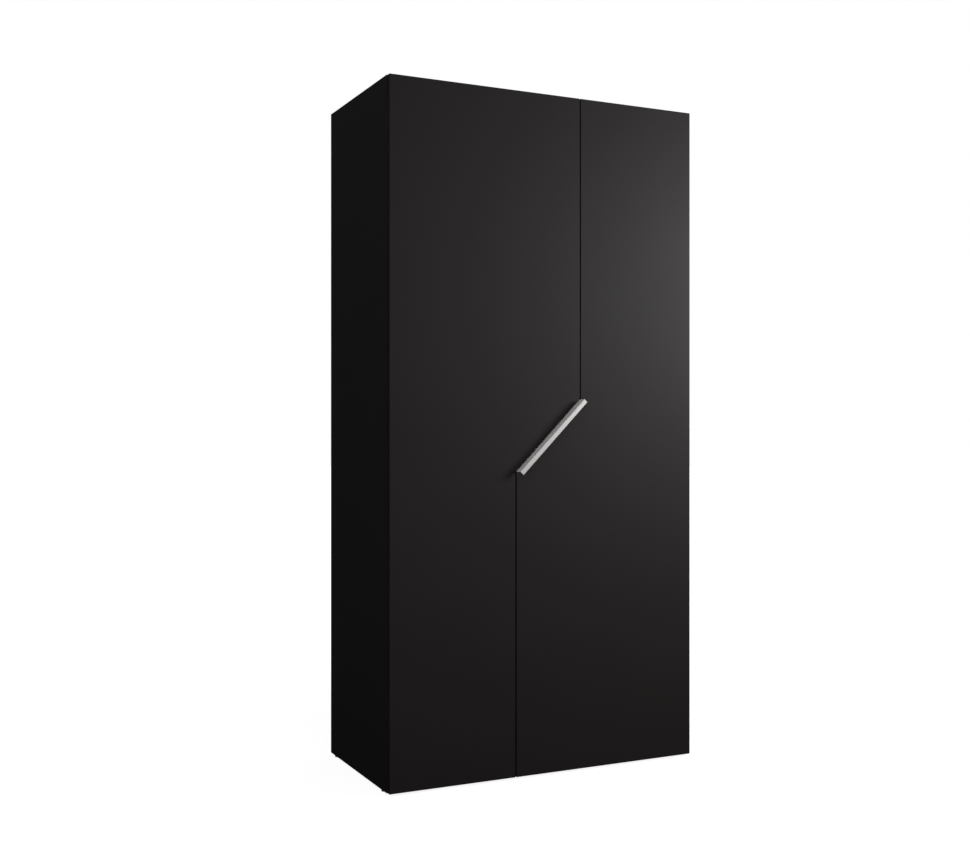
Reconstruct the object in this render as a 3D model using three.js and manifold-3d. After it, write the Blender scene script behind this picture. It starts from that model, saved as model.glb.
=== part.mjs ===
// A two-door wardrobe with a stepped, diagonal door split and one aluminium edge grip.
//
// Millimetres, +Z up, doors facing -Y. The origin is under the middle of the whole box, on the floor.
// The carcass is butted board, the doors are full overlay, and each hangs on four concealed
// single-pin hinges: a cup sunk in the door, a goose-neck arm on a mounting plate, and a pin.

import * as THREE from "three";
import { mergeVertices } from "three/addons/utils/BufferGeometryUtils.js";
import Module from "manifold-3d";

const wasm = await Module();
wasm.setup();

// ---------------------------------------------------------------- driving dimensions

const WIDTH = 1000;
const HEIGHT = 2000;
const SIDE_DEPTH = 482; // front to back of the side panels
const BOARD = 16; // carcass board
const BACK = 3; // hardboard back
const DOOR = 18; // door board
const DOOR_GAP = 3; // back of a door to the front of the carcass
const SIDE_REVEAL = 1; // edge of a door to the outer face of the side it covers
const END_REVEAL = 2; // top and bottom of a door to the ends of the sides
const SPLIT_GAP = 4; // between the two doors
const CLEAR = 0.3; // between pieces that are fitted, not butted

const GLIDE_HEIGHT = 5;
const GLIDE_RADIUS = 7.5;
const GLIDE_INSET = 40; // glide centre to the front or back of a side
const PLINTH = 60;
const PLINTH_SETBACK = 30;
const INNER_SETBACK = 20; // shelves and divider, behind the front of the carcass
const HAT_SPACE = 300; // clear height over the hat shelf
const SHELF_COUNT = 4;
const SHELF_PLAY = 0.5; // each end of a loose shelf

const STRIP_WIDTH = 24; // plastic strip over the joint of the two back panels
const STRIP = 1;
const BACK_INSET = 2; // edge of the back to the outside of the carcass

const RAIL_TALL = 30;
const RAIL_WIDE = 15;
const RAIL_WALL = 1.25;
const RAIL_DROP = 50; // hat shelf to the middle of the rail
const SOCKET_DEPTH = 12;
const SOCKET_BASE = 2.5;
const SOCKET_WALL = 2.5;

const GRIP_LENGTH = 300; // the slanted edge it sits on is cut to suit it
const GRIP_SLOPE = Math.PI / 4;
const GRIP_REACH = 25; // how far the grip stands out from the door
const GRIP_LIP = 13;
const GRIP_FLANGE = 16; // rear flange, screwed to the back of the door
const GRIP_WALL = 2;
const GRIP_SCREW_PITCH = 120;
const GRIP_SCREW_COUNT = 3;
const SCREW_SHANK = 1.5; // radii
const SCREW_HEAD = 3.25;
const SCREW_LENGTH = 13;

const HINGE_INSET = 120; // top and bottom hinges from the ends of the door
const PIN_FROM_EDGE = 7.5; // door's edge to the pin
const PIN_FROM_BACK = 9.5; // door's back face to the pin
const PIN_RADIUS = 1.25;
const KNUCKLE_RADIUS = 2.5;
const CUP_RADIUS = 17.5;
const CUP_EDGE = 3; // cup to the door's edge
const CUP_WALL = 0.8;
const CUP_DEPTH = 13.5;
const CUP_RIM = 1.2; // thickness of the rim and ears on the door's back
const CUP_EAR = 31; // half the length of the ears
const CUP_EAR_HALF = 9;
const CUP_CHEEK = 2.6; // the two cheeks in the cup that hold the pin
const ARM_WALL = 2;
const ARM_HALF = 5; // half the width of the arm's neck
const ARM_STANDOFF = 5; // side panel to the arm
const ARM_LENGTH = 60; // behind the front of the carcass
const ARM_BEND = 3;
const CHANNEL_START = 14; // front of the carcass to where the arm widens into a channel
const CHANNEL_HALF = 7.5;
const CHANNEL_WALL = 1.2;
const PLATE_START = 20; // front of the carcass to the plate
const PLATE_LENGTH = 36;
const PLATE_WALL = 1.6;
const WING_HALF = 24;
const WING_LENGTH = 16;

// ---------------------------------------------------------------- places worked out from them

const BACK_DEPTH = SIDE_DEPTH + BACK + STRIP;
const TOTAL_DEPTH = GRIP_REACH + DOOR + DOOR_GAP + BACK_DEPTH;
const Y_REAR = TOTAL_DEPTH / 2;
const Y_FRONT = Y_REAR - BACK_DEPTH; // front edges of the carcass
const Y_BOARD_END = Y_FRONT + SIDE_DEPTH; // rear edges of the carcass boards
const Y_DOOR_BACK = Y_FRONT - DOOR_GAP;
const Y_INNER = Y_FRONT + INNER_SETBACK;

const X_SIDE = WIDTH / 2;
const X_INSIDE = X_SIDE - BOARD;
const X_DIVIDER = BOARD / 2;
const X_DOOR = X_SIDE - SIDE_REVEAL;

const Z_LOW = GLIDE_HEIGHT;
const Z_FLOOR_BOARD = Z_LOW + PLINTH;
const Z_INSIDE = Z_FLOOR_BOARD + BOARD;
const Z_TOP_BOARD = HEIGHT - BOARD;
const Z_HAT_TOP = Z_TOP_BOARD - HAT_SPACE;
const Z_HAT = Z_HAT_TOP - BOARD;
const Z_DOOR_LOW = Z_LOW + END_REVEAL;
const Z_DOOR_HIGH = HEIGHT - END_REVEAL;
const Z_RAIL = Z_HAT - RAIL_DROP;
const Y_RAIL = (Y_FRONT + Y_BOARD_END) / 2;

const SHELF_SPACE = (Z_HAT - Z_INSIDE - SHELF_COUNT * BOARD) / (SHELF_COUNT + 1);
const shelfBottom = (i) => Z_INSIDE + SHELF_SPACE * (i + 1) + BOARD * i;
const spaceMiddle = (i) => shelfBottom(i) - SHELF_SPACE / 2;
const HINGE_HEIGHTS = [
  Z_DOOR_LOW + HINGE_INSET,
  spaceMiddle(1),
  spaceMiddle(SHELF_COUNT - 1),
  Z_DOOR_HIGH - HINGE_INSET,
];

// ---------------------------------------------------------------- finishes

const finish = (color, roughness, metalness) =>
  new THREE.MeshStandardMaterial({ color, roughness, metalness });

const LAMINATE = finish(0x1b1a1b, 0.55, 0);
const HARDBOARD = finish(0x2a2725, 0.8, 0);
const ALUMINIUM = finish(0xc9c5c3, 0.35, 1);
const STEEL = finish(0x9c9c9e, 0.3, 1);
const CHROME = finish(0xd4d5d7, 0.12, 1);
const PLASTIC = finish(0x151515, 0.6, 0);

// ---------------------------------------------------------------- shape helpers

const wardrobe = new THREE.Group();
const X_AXIS = new THREE.Vector3(1, 0, 0);
const Y_AXIS = new THREE.Vector3(0, 1, 0);
const Z_AXIS = new THREE.Vector3(0, 0, 1);

function add(name, geometry, material, parent = wardrobe) {
  const mesh = new THREE.Mesh(geometry, material);
  mesh.name = name;
  parent.add(mesh);
  return mesh;
}

// A box between the two ends given on each axis, so that neighbours share a face exactly.
function block([x0, x1], [y0, y1], [z0, z1]) {
  const geometry = new THREE.BoxGeometry(1, 1, 1);
  const at = geometry.getAttribute("position");
  for (let i = 0; i < at.count; i++) {
    at.setXYZ(
      i,
      at.getX(i) < 0 ? x0 : x1,
      at.getY(i) < 0 ? y0 : y1,
      at.getZ(i) < 0 ? z0 : z1,
    );
  }
  return geometry;
}

function outline(points) {
  return new THREE.Shape(points.map(([x, y]) => new THREE.Vector2(x, y)));
}

function prism(shape, depth, curveSegments = 8) {
  return new THREE.ExtrudeGeometry(shape, { depth, bevelEnabled: false, curveSegments });
}

// A flat-sided oval, taller than it is wide.
function oval(tall, wide) {
  const r = wide / 2;
  const straight = tall / 2 - r;
  const shape = new THREE.Shape();
  shape.moveTo(r, -straight);
  shape.lineTo(r, straight);
  shape.absarc(0, straight, r, 0, Math.PI, false);
  shape.lineTo(-r, -straight);
  shape.absarc(0, -straight, r, Math.PI, 2 * Math.PI, false);
  return shape;
}

// Turns an extrusion so that its x, y and z run along the three axes given.
function turned(geometry, x, y, z) {
  return geometry.applyMatrix4(new THREE.Matrix4().makeBasis(x, y, z));
}

function solid(geometry) {
  const bare = new THREE.BufferGeometry();
  bare.setAttribute("position", geometry.getAttribute("position"));
  bare.setIndex(geometry.getIndex());
  const merged = mergeVertices(bare, 1e-4);
  return new wasm.Manifold(
    new wasm.Mesh({
      numProp: 3,
      vertProperties: merged.getAttribute("position").array,
      triVerts: new Uint32Array(merged.getIndex().array),
    }),
  );
}

function surface(body) {
  const mesh = body.getMesh();
  const geometry = new THREE.BufferGeometry();
  geometry.setAttribute("position", new THREE.BufferAttribute(mesh.vertProperties, 3));
  geometry.setIndex(new THREE.BufferAttribute(mesh.triVerts, 1));
  return geometry;
}

function rod(radius, length, segments) {
  return new THREE.CylinderGeometry(radius, radius, length, segments);
}

// ---------------------------------------------------------------- carcass

const full = [Y_FRONT, Y_BOARD_END];
const between = [-X_INSIDE, X_INSIDE];

function carcass() {
  const sides = [Z_LOW, HEIGHT];
  add("left_side_panel", block([-X_SIDE, -X_INSIDE], full, sides), LAMINATE);
  add("right_side_panel", block([X_INSIDE, X_SIDE], full, sides), LAMINATE);
  add("top_panel", block(between, full, [Z_TOP_BOARD, HEIGHT]), LAMINATE);
  add("bottom_panel", block(between, full, [Z_FLOOR_BOARD, Z_INSIDE]), LAMINATE);

  const plinth = [Z_LOW, Z_FLOOR_BOARD];
  const plinthFront = Y_FRONT + PLINTH_SETBACK;
  add("front_plinth", block(between, [plinthFront, plinthFront + BOARD], plinth), LAMINATE);
  add("rear_plinth", block(between, [Y_BOARD_END - BOARD, Y_BOARD_END], plinth), LAMINATE);
}

function interior() {
  const depth = [Y_INNER, Y_BOARD_END];
  add("hat_shelf", block(between, depth, [Z_HAT, Z_HAT_TOP]), LAMINATE);
  add("centre_divider", block([-X_DIVIDER, X_DIVIDER], depth, [Z_INSIDE, Z_HAT]), LAMINATE);

  const shelfWidth = [-X_INSIDE + SHELF_PLAY, -X_DIVIDER - SHELF_PLAY];
  const shelfDepth = [Y_INNER, Y_BOARD_END - SHELF_PLAY];
  for (let i = 0; i < SHELF_COUNT; i++) {
    const z = shelfBottom(i);
    add(`shelf_${i + 1}`, block(shelfWidth, shelfDepth, [z, z + BOARD]), LAMINATE);
  }
}

// Two hardboard panels nailed over the rear edges, with a T-shaped strip over their joint.
function back() {
  const thickness = [Y_BOARD_END, Y_BOARD_END + BACK];
  const height = [Z_LOW + BACK_INSET, HEIGHT - BACK_INSET];
  const outer = X_SIDE - BACK_INSET;
  const inner = STRIP / 2 + CLEAR;
  add("back_panel_left", block([-outer, -inner], thickness, height), HARDBOARD);
  add("back_panel_right", block([inner, outer], thickness, height), HARDBOARD);

  const [near, far] = thickness;
  const tee = outline([
    [-STRIP / 2, near],
    [STRIP / 2, near],
    [STRIP / 2, far],
    [STRIP_WIDTH / 2, far],
    [STRIP_WIDTH / 2, far + STRIP],
    [-STRIP_WIDTH / 2, far + STRIP],
    [-STRIP_WIDTH / 2, far],
    [-STRIP / 2, far],
  ]);
  const strip = add("back_joint_strip", prism(tee, height[1] - height[0]), PLASTIC);
  strip.position.z = height[0];
}

// An oval clothes rail held at each end in a socket.
function clothesRail() {
  const bore = oval(RAIL_TALL + 2 * CLEAR, RAIL_WIDE + 2 * CLEAR);
  const shell = oval(
    RAIL_TALL + 2 * (CLEAR + SOCKET_WALL),
    RAIL_WIDE + 2 * (CLEAR + SOCKET_WALL),
  );
  const socket = solid(prism(shell, SOCKET_DEPTH - CLEAR)).subtract(
    solid(prism(bore, SOCKET_DEPTH).translate(0, 0, SOCKET_BASE)),
  );
  const ends = [
    ["rail_socket_left", X_DIVIDER + CLEAR, [Y_AXIS, Z_AXIS, X_AXIS]],
    [
      "rail_socket_right",
      X_INSIDE - CLEAR,
      [Y_AXIS.clone().negate(), Z_AXIS, X_AXIS.clone().negate()],
    ],
  ];
  for (const [name, x, axes] of ends) {
    const mesh = add(name, turned(surface(socket), ...axes), CHROME);
    mesh.position.set(x, Y_RAIL, Z_RAIL);
  }

  const tube = oval(RAIL_TALL, RAIL_WIDE);
  tube.holes.push(oval(RAIL_TALL - 2 * RAIL_WALL, RAIL_WIDE - 2 * RAIL_WALL));
  const start = X_DIVIDER + CLEAR + SOCKET_BASE + CLEAR;
  const end = X_INSIDE - CLEAR - SOCKET_BASE - CLEAR;
  const rail = add("clothes_rail", turned(prism(tube, end - start), Y_AXIS, Z_AXIS, X_AXIS), CHROME);
  rail.position.set(start, Y_RAIL, Z_RAIL);
}

function glides() {
  const x = X_SIDE - BOARD / 2;
  const front = Y_FRONT + GLIDE_INSET;
  const rear = Y_BOARD_END - GLIDE_INSET;
  const places = {
    glide_front_left: [-x, front],
    glide_front_right: [x, front],
    glide_rear_left: [-x, rear],
    glide_rear_right: [x, rear],
  };
  const height = GLIDE_HEIGHT - CLEAR;
  for (const [name, [gx, gy]] of Object.entries(places)) {
    const foot = add(name, rod(GLIDE_RADIUS, height, 24), PLASTIC);
    foot.rotation.x = Math.PI / 2;
    foot.position.set(gx, gy, height / 2);
  }
}

// ---------------------------------------------------------------- grip

// The grip's own frame: x across the slanted edge and onto the right door, y out of the door's
// front, z down along the edge. It sits half the split gap from the line between the doors.
const SLOPE = new THREE.Vector3(Math.cos(GRIP_SLOPE), 0, Math.sin(GRIP_SLOPE));
const ACROSS = new THREE.Vector3(Math.sin(GRIP_SLOPE), 0, -Math.cos(GRIP_SLOPE));
const gripFrame = new THREE.Group();
gripFrame.quaternion.setFromRotationMatrix(
  new THREE.Matrix4().makeBasis(ACROSS, Y_AXIS.clone().negate(), SLOPE.clone().negate()),
);
gripFrame.position
  .set(0, Y_DOOR_BACK - DOOR, HEIGHT / 2)
  .addScaledVector(ACROSS, SPLIT_GAP / 2);
gripFrame.updateMatrix();

const FLANGE_FRONT = -DOOR - CLEAR;
const FLANGE_REAR = FLANGE_FRONT - GRIP_WALL;
const SCREW_X = (GRIP_WALL + GRIP_FLANGE) / 2;
const SCREW_PLACES = Array.from(
  { length: GRIP_SCREW_COUNT },
  (_, i) => (i - (GRIP_SCREW_COUNT - 1) / 2) * GRIP_SCREW_PITCH,
);

// A countersunk screw or the hole it takes, driven forwards from the back of the flange.
function screwBody(grow) {
  const shank = SCREW_SHANK + grow;
  const head = SCREW_HEAD + grow;
  const tip = FLANGE_REAR + SCREW_LENGTH + grow;
  const rear = FLANGE_REAR - grow;
  const neck = FLANGE_REAR + SCREW_HEAD - SCREW_SHANK;
  const profile = [
    [0, rear],
    [head, rear],
    [head, FLANGE_REAR],
    [shank, neck],
    [shank, tip],
    [0, tip],
  ];
  const rim = grow ? profile : profile.filter((_, i) => i !== 2);
  return new THREE.LatheGeometry(
    rim.map(([r, y]) => new THREE.Vector2(r, y)),
    16,
  );
}

function grip() {
  wardrobe.add(gripFrame);
  const section = outline([
    [0, FLANGE_REAR],
    [GRIP_FLANGE, FLANGE_REAR],
    [GRIP_FLANGE, FLANGE_FRONT],
    [GRIP_WALL, FLANGE_FRONT],
    [GRIP_WALL, GRIP_REACH - GRIP_WALL],
    [GRIP_LIP, GRIP_REACH - GRIP_WALL],
    [GRIP_LIP, GRIP_REACH],
    [0, GRIP_REACH],
  ]);
  let profile = solid(prism(section, GRIP_LENGTH).translate(0, 0, -GRIP_LENGTH / 2));
  for (const z of SCREW_PLACES) {
    profile = profile.subtract(solid(screwBody(CLEAR).translate(SCREW_X, 0, z)));
  }
  add("grip_profile", surface(profile), ALUMINIUM, gripFrame);
  SCREW_PLACES.forEach((z, i) => {
    const screw = add(`grip_screw_${i + 1}`, screwBody(0), STEEL, gripFrame);
    screw.position.set(SCREW_X, 0, z);
  });
}

// ---------------------------------------------------------------- doors

const CUP_FROM_PIN = CUP_EDGE + CUP_RADIUS - PIN_FROM_EDGE;

// Half the width of the step in the split. The inner corner of the grip's web just clears the
// upright edge that the right door has above it.
const HALF_RUN =
  (GRIP_LENGTH / 2) * Math.cos(GRIP_SLOPE) +
  (SPLIT_GAP / 2 + GRIP_WALL) * Math.sin(GRIP_SLOPE) +
  CLEAR -
  SPLIT_GAP / 2;

// The door's board as it faces you. side is -1 for the left door and 1 for the right; offset is
// how far the slanted edge lies from the line between the doors.
function doorOutline(side, offset) {
  const straight = (side * SPLIT_GAP) / 2;
  const lowX = -HALF_RUN + straight;
  const highX = HALF_RUN + straight;
  const slant = (x) =>
    HEIGHT / 2 + x * Math.tan(GRIP_SLOPE) - (side * offset) / Math.cos(GRIP_SLOPE);
  const points = [
    [side * X_DOOR, Z_DOOR_LOW],
    [lowX, Z_DOOR_LOW],
    [lowX, slant(lowX)],
    [highX, slant(highX)],
    [highX, Z_DOOR_HIGH],
    [side * X_DOOR, Z_DOOR_HIGH],
  ];
  return outline(side < 0 ? points : points.reverse());
}

function door(side, offset) {
  const board = prism(doorOutline(side, offset), DOOR);
  const standing = turned(board, X_AXIS, Z_AXIS, Y_AXIS.clone().negate());
  let body = solid(standing.translate(0, Y_DOOR_BACK, 0));
  const pocketDepth = CUP_DEPTH + CLEAR;
  const cupX = side * (X_DOOR - CUP_EDGE - CUP_RADIUS);
  for (const z of HINGE_HEIGHTS) {
    const pocket = rod(CUP_RADIUS + CLEAR, pocketDepth + 1, 32);
    body = body.subtract(solid(pocket.translate(cupX, Y_DOOR_BACK - pocketDepth / 2 + 0.5, z)));
  }
  return body;
}

function doors() {
  add("left_door", surface(door(-1, SPLIT_GAP / 2)), LAMINATE);
  let right = door(1, SPLIT_GAP / 2 + GRIP_WALL + CLEAR);
  for (const z of SCREW_PLACES) {
    const pilot = screwBody(CLEAR).translate(SCREW_X, 0, z).applyMatrix4(gripFrame.matrix);
    right = right.subtract(solid(pilot));
  }
  add("right_door", surface(right), LAMINATE);
}

// ---------------------------------------------------------------- hinges

// A hinge's own frame: origin on the pin at mid height, x towards the inside of the wardrobe,
// y towards its back. A right-hand hinge is the same one turned half round about y.
const X_SEAT = BOARD - SIDE_REVEAL - PIN_FROM_EDGE; // inner face of the side panel
const Y_CARCASS = PIN_FROM_BACK + DOOR_GAP;
const X_ARM_NEAR = X_SEAT + ARM_STANDOFF;
const X_ARM_FAR = X_ARM_NEAR + ARM_WALL;
const Y_ARM_END = Y_CARCASS + ARM_LENGTH;
const CHEEK_NEAR = ARM_HALF + CLEAR;
const CHEEK_FAR = CHEEK_NEAR + CUP_CHEEK;

// A round bar standing on z, centred on the pin.
function pinRod(radius, length) {
  return rod(radius, length, 16).rotateX(Math.PI / 2);
}

function hingeCup() {
  const floor = PIN_FROM_BACK - CUP_DEPTH;
  const rim = PIN_FROM_BACK + CLEAR + CUP_RIM;
  const disc = (radius, low, high) =>
    solid(rod(radius, high - low, 32).translate(CUP_FROM_PIN, (high + low) / 2, 0));
  const ears = block(
    [CUP_FROM_PIN - CUP_EAR_HALF, CUP_FROM_PIN + CUP_EAR_HALF],
    [rim - CUP_RIM, rim],
    [-CUP_EAR, CUP_EAR],
  );
  let cup = disc(CUP_RADIUS, floor, rim)
    .add(solid(ears))
    .subtract(disc(CUP_RADIUS - CUP_WALL, floor + CUP_WALL, rim + 1));

  const cheekHalf = KNUCKLE_RADIUS + CUP_WALL;
  const inWall = disc(CUP_RADIUS - CUP_WALL / 2, floor, rim);
  for (const z of [
    [CHEEK_NEAR, CHEEK_FAR],
    [-CHEEK_FAR, -CHEEK_NEAR],
  ]) {
    const cheek = block([-CUP_FROM_PIN, cheekHalf], [floor + CUP_WALL / 2, cheekHalf], z);
    cup = cup.add(solid(cheek).intersect(inWall));
  }
  return surface(cup.subtract(solid(pinRod(PIN_RADIUS + CLEAR, 2 * CHEEK_FAR))));
}

// The arm bends out of the cup, then widens into a channel that straddles the plate's rail.
function hingeArm() {
  const half = ARM_WALL / 2;
  const neck = new THREE.Shape();
  neck.moveTo(0, -half);
  neck.absarc(
    X_ARM_NEAR - ARM_BEND,
    half + ARM_BEND,
    ARM_BEND + ARM_WALL,
    -Math.PI / 2,
    0,
    false,
  );
  neck.lineTo(X_ARM_FAR, Y_ARM_END);
  neck.lineTo(X_ARM_NEAR, Y_ARM_END);
  neck.absarc(X_ARM_NEAR - ARM_BEND, half + ARM_BEND, ARM_BEND, 0, -Math.PI / 2, true);
  neck.lineTo(0, half);

  const channel = [Y_CARCASS + CHANNEL_START, Y_ARM_END];
  const flangeTip = X_SEAT + CLEAR + PLATE_WALL + CLEAR;
  const inside = CHANNEL_HALF - CHANNEL_WALL;
  const arm = solid(prism(neck, 2 * ARM_HALF).translate(0, 0, -ARM_HALF))
    .add(solid(pinRod(KNUCKLE_RADIUS, 2 * ARM_HALF)))
    .add(solid(block([flangeTip, X_ARM_FAR], channel, [-CHANNEL_HALF, CHANNEL_HALF])))
    .subtract(
      solid(
        block([0, X_ARM_NEAR], [channel[0] - 1, channel[1] + 1], [-inside, inside]),
      ),
    )
    .subtract(solid(pinRod(PIN_RADIUS + CLEAR, 2 * ARM_HALF + 1)));
  return surface(arm);
}

// The mounting plate: a rail under the arm, on a base with two wings for its screws.
function hingePlate() {
  const seat = X_SEAT + CLEAR;
  const start = Y_CARCASS + PLATE_START;
  const middle = start + PLATE_LENGTH / 2;
  const railHalf = CHANNEL_HALF - CHANNEL_WALL - CLEAR;
  const rail = block([seat, X_ARM_NEAR - CLEAR], [start, start + PLATE_LENGTH], [-railHalf, railHalf]);
  const wings = block(
    [seat, seat + PLATE_WALL],
    [middle - WING_LENGTH / 2, middle + WING_LENGTH / 2],
    [-WING_HALF, WING_HALF],
  );
  return surface(solid(rail).add(solid(wings)));
}

function hinges() {
  const pieces = {
    cup: hingeCup(),
    pin: pinRod(PIN_RADIUS, 2 * CHEEK_FAR),
    arm: hingeArm(),
    plate: hingePlate(),
  };
  for (const [hand, side] of [
    ["left", -1],
    ["right", 1],
  ]) {
    HINGE_HEIGHTS.forEach((z, i) => {
      const hinge = new THREE.Group();
      hinge.position.set(side * (X_DOOR - PIN_FROM_EDGE), Y_DOOR_BACK - PIN_FROM_BACK, z);
      hinge.rotation.y = side < 0 ? 0 : Math.PI;
      wardrobe.add(hinge);
      for (const [piece, geometry] of Object.entries(pieces)) {
        add(`${hand}_hinge_${piece}_${i + 1}`, geometry, STEEL, hinge);
      }
    });
  }
}

carcass();
interior();
back();
clothesRail();
glides();
grip();
doors();
hinges();

export default wardrobe;
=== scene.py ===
import math

import bpy
import numpy as np
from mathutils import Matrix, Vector
from mathutils.geometry import tessellate_polygon


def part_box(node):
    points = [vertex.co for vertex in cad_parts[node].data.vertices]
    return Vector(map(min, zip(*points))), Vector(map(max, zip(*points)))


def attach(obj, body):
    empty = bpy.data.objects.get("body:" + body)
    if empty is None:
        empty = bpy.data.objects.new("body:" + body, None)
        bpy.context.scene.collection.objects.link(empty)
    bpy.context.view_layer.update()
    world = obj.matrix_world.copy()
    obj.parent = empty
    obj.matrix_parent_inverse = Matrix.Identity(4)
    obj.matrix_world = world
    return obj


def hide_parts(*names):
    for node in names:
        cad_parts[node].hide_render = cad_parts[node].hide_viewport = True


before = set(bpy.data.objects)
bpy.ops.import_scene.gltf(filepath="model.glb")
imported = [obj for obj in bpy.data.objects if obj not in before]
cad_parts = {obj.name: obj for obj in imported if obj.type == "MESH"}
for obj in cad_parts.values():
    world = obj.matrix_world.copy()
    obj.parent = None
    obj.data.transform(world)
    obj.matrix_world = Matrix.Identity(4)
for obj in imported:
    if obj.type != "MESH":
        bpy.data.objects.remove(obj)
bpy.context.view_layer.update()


# ---------------------------------------------------------------------------------------------
# Camera. It stands level at chest height, well in front of the wardrobe and to the left of it.
# Its place is counted from the foot of the left door's hinged edge.

CAMERA_LEFT = 1.2365
CAMERA_AHEAD = 3.1819
CAMERA_HEIGHT = 1.0173
CAMERA_YAW = math.radians(25.657)
CAMERA_LENS = 45.77
CAMERA_SHIFT = -0.0014

hinged_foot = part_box("left_door")[0]
camera = bpy.data.objects.new("camera", bpy.data.cameras.new("camera"))
bpy.context.scene.collection.objects.link(camera)
bpy.context.scene.camera = camera
camera.data.sensor_width = 36.0
camera.data.lens = CAMERA_LENS
camera.data.shift_y = CAMERA_SHIFT
camera.location = (hinged_foot.x - CAMERA_LEFT, hinged_foot.y - CAMERA_AHEAD, CAMERA_HEIGHT)
camera.rotation_euler = (math.pi / 2, 0, -CAMERA_YAW)


# ---------------------------------------------------------------------------------------------
# Side panels. Particle board faced with matte black melamine paper, with a plastic band glued
# round the edges, its arrises eased and a little glossier than the faces. The left panel is
# drilled for the shelf pins, in two rows of five holes at each shelf.

ARRIS = 0.0004
ARRIS_STEPS = 3
BAND_WALL = 0.0005
DRILL_RADIUS = 0.0025
DRILL_DEPTH = 0.011
DRILL_INSET = 0.037
DRILL_PITCH = 0.032
HOLE_POINTS = 16
WIDE_HOLE = 0.01
MELAMINE_SPECULAR = 0.25
CARCASS_BLACK = (0.0090, 0.0088, 0.0088)
FACE_ROUGHNESS = 0.59
BAND_ROUGHNESS = 0.50


class Wire:
    """A socket of a finish, so that its sums are written as Python."""

    def __init__(self, finish, socket):
        self.finish = finish
        self.socket = socket

    def sum(self, operation, *values):
        inputs = dict(enumerate(values))
        return self.finish.node("ShaderNodeMath", {"operation": operation}, inputs)

    def __add__(self, other):
        return self.sum("ADD", self, other)

    def __radd__(self, other):
        return self.sum("ADD", other, self)

    def __sub__(self, other):
        return self.sum("SUBTRACT", self, other)

    def __rsub__(self, other):
        return self.sum("SUBTRACT", other, self)

    def __mul__(self, other):
        return self.sum("MULTIPLY", self, other)

    def __rmul__(self, other):
        return self.sum("MULTIPLY", other, self)

    def __gt__(self, other):
        return self.sum("GREATER_THAN", self, other)


class Finish:
    """A procedural material. node() adds any node, and look() sets the shader's own sockets."""

    def __init__(self, name, **look):
        self.material = bpy.data.materials.new(name)
        self.material.use_nodes = True
        self.tree = self.material.node_tree
        self.shader = self.tree.nodes["Principled BSDF"]
        self.place = self.node("ShaderNodeTexCoord", {}, {}, "Object")
        self.look(**look)

    def node(self, kind, settings, inputs, output=0):
        node = self.tree.nodes.new(kind)
        for key, value in settings.items():
            setattr(node, key, value)
        for key, value in inputs.items():
            self.feed(node.inputs[key], value)
        return Wire(self, node.outputs[output])

    def feed(self, socket, value):
        if isinstance(value, Wire):
            self.tree.links.new(value.socket, socket)
        elif socket.type == "RGBA":
            socket.default_value = (*value, 1)
        else:
            socket.default_value = value

    def look(self, **look):
        for key, value in look.items():
            name = key.replace("_", " ").title().replace("Ior", "IOR")
            self.feed(self.shader.inputs[name], value)

    def noise(self, size, detail=2.0, stretch=(1, 1, 1), turn=(0, 0, 0)):
        """Noise from 0 to 1 whose blotches are about size across, turned, then drawn out along
        each axis by stretch."""
        scale = [size * s for s in stretch]
        inputs = {"Vector": self.place, "Rotation": turn, "Scale": scale}
        vector = self.node("ShaderNodeMapping", {"vector_type": "TEXTURE"}, inputs)
        inputs = {"Vector": vector, "Scale": 1.0, "Detail": detail}
        return self.node("ShaderNodeTexNoise", {}, inputs, "Fac")

    def mix(self, share, first, second):
        """The first colour at share 0, the second at 1."""
        inputs = {0: share, 6: first, 7: second}
        return self.node("ShaderNodeMix", {"data_type": "RGBA"}, inputs, 2)

    def bump(self, height, depth, strength=1.0):
        """Raises the surface by height, from 0 to 1, times depth."""
        inputs = {"Height": height, "Distance": depth, "Strength": strength}
        self.look(normal=self.node("ShaderNodeBump", {}, inputs))


def melamine(name, colour, roughness, grain):
    """Black melamine: a fine pearled grain, and slow drifts of colour and sheen over the board."""
    finish = Finish(name, specular_ior_level=MELAMINE_SPECULAR)
    pearl = finish.noise(0.0007, 1.0)
    drift = finish.noise(0.22, 3.0)
    lighter = tuple(1.2 * c for c in colour)
    finish.look(base_color=finish.mix(drift * 0.6 + pearl * 0.4, colour, lighter))
    finish.look(roughness=roughness - 0.03 + drift * 0.05 + pearl * 0.03)
    finish.bump(pearl, grain, 0.5)
    return finish.material


def chipboard(name):
    """The raw core of a board, as it shows in a drilled hole: pale chips in darker glue."""
    finish = Finish(name, roughness=0.9, specular_ior_level=0.2)
    chips = finish.noise(0.0016, 3.0)
    finish.look(base_color=finish.mix(chips, (0.10, 0.062, 0.032), (0.34, 0.23, 0.13)))
    finish.bump(chips, 0.0006)
    return finish.material


carcass_finishes = (
    melamine("carcass_face", CARCASS_BLACK, FACE_ROUGHNESS, 0.00005),
    melamine("carcass_band", CARCASS_BLACK, BAND_ROUGHNESS, 0.00002),
    chipboard("raw_core"),
)
FACE, BAND, CORE = range(3)


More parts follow.
